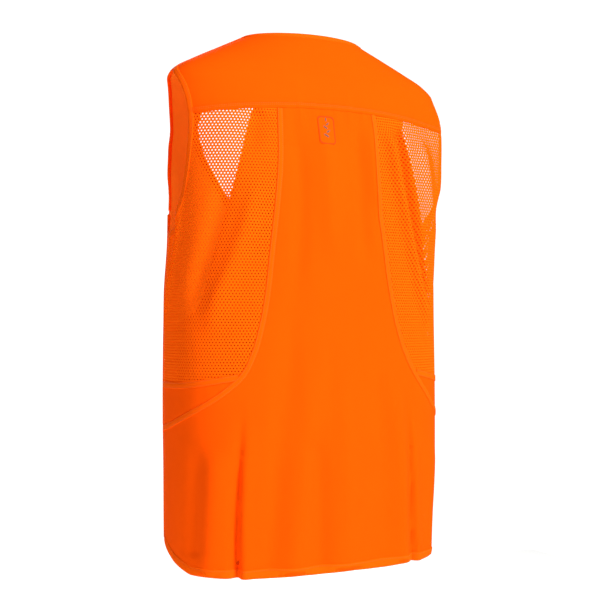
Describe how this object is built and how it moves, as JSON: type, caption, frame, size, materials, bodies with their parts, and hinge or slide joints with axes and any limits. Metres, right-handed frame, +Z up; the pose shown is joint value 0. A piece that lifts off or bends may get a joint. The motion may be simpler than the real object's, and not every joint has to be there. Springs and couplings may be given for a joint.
{
  "type": "hunting vest",
  "caption": "Sleeveless blaze orange field vest with mesh back panels, game pocket, open front zip and flapped bellows pockets.",
  "frame": {"origin": "centre of the neck opening at the height of the nape", "axes": "+Z up, the back faces +Y, the wearer's left is +X"},
  "size_m": [0.4102, 0.2688, 0.7434],
  "materials": {
    "orange_cloth": "matt brushed polyester cloth",
    "orange_mesh": "open knitted polyester mesh",
    "orange_binding": "folded woven binding, twin stitched",
    "orange_lining": "smooth woven lining",
    "patch": "blank heat pressed patch",
    "label": "blank satin label",
    "zip_tape": "woven zip tape",
    "zip_plastic": "moulded acetal",
    "zip_metal": "black enamelled zinc",
    "snap_metal": "antique nickel"
  },
  "bodies": {
    "back": {"back_yoke": "orange_cloth", "centre_back_panel": "orange_cloth", "left_mesh_panel": "orange_mesh", "left_side_panel": "orange_cloth", "left_lapped_band": "orange_binding", "left_mesh_seam_tape": "orange_binding", "left_back_armhole_binding": "orange_binding", "right_mesh_panel": "orange_mesh", "right_side_panel": "orange_cloth", "right_lapped_band": "orange_binding", "right_mesh_seam_tape": "orange_binding", "right_back_armhole_binding": "orange_binding", "back_hem_band": "orange_binding", "back_neck_binding": "orange_binding", "game_pocket_lining": "orange_lining", "game_pocket_floor": "orange_lining", "blank_patch": "patch", "hanger_loop": "orange_binding", "care_label": "label"},
    "front_left": {"left_front_panel": "orange_cloth", "left_front_facing": "orange_lining", "left_front_hem_band": "orange_binding", "left_front_neck_binding": "orange_binding", "left_front_armhole_binding": "orange_binding", "left_zip_tape": "zip_tape", "left_tooth_chain": "zip_plastic", "left_top_stop": "zip_plastic", "left_bellows_pocket": "orange_cloth", "left_snap_stud": "snap_metal", "retainer_box": "zip_plastic", "chest_tab": "orange_binding"},
    "front_right": {"right_front_panel": "orange_cloth", "right_front_facing": "orange_lining", "right_front_hem_band": "orange_binding", "right_front_neck_binding": "orange_binding", "right_front_armhole_binding": "orange_binding", "right_zip_tape": "zip_tape", "right_tooth_chain": "zip_plastic", "right_top_stop": "zip_plastic", "right_bellows_pocket": "orange_cloth", "right_snap_stud": "snap_metal", "insertion_pin": "zip_plastic"},
    "slider": {"zip_slider": "zip_metal"},
    "pull": {"zip_pull": "zip_metal"},
    "flap_left": {"left_pocket_flap": "orange_cloth", "left_snap_cap": "snap_metal", "left_snap_socket": "snap_metal"},
    "flap_right": {"right_pocket_flap": "orange_cloth", "right_snap_cap": "snap_metal", "right_snap_socket": "snap_metal"},
    "ring": {"d_ring": "snap_metal"}
  },
  "joints": [
    {"name": "front_left_swing", "type": "hinge", "parent": "back", "child": "front_left", "pos_m": [0.193, -0.048, -0.5], "axis": [0, 0, 1], "range_deg": [0, 55]},
    {"name": "front_right_swing", "type": "hinge", "parent": "back", "child": "front_right", "pos_m": [-0.193, -0.048, -0.5], "axis": [0, 0, -1], "range_deg": [0, 55]},
    {"name": "zip_slide", "type": "slide", "parent": "front_left", "child": "slider", "axis": [0, 0, 1], "range_m": [0, 0.414]},
    {"name": "pull_swing", "type": "hinge", "parent": "slider", "child": "pull", "pos_m": [0.00345, -0.13415, -0.7003], "axis": [-1, 0, 0], "range_deg": [0, 175]},
    {"name": "flap_left_lift", "type": "hinge", "parent": "front_left", "child": "flap_left", "pos_m": [0.10495, -0.11877, -0.541], "axis": [-0.9397, -0.342, 0], "range_deg": [0, 120]},
    {"name": "flap_right_lift", "type": "hinge", "parent": "front_right", "child": "flap_right", "pos_m": [-0.10495, -0.11877, -0.541], "axis": [-0.9397, 0.342, 0], "range_deg": [0, 120]},
    {"name": "ring_swing", "type": "hinge", "parent": "front_left", "child": "ring", "pos_m": [0.11755, -0.11405, -0.346], "axis": [-0.9135, -0.4067, 0], "range_deg": [0, 100]}
  ]
}
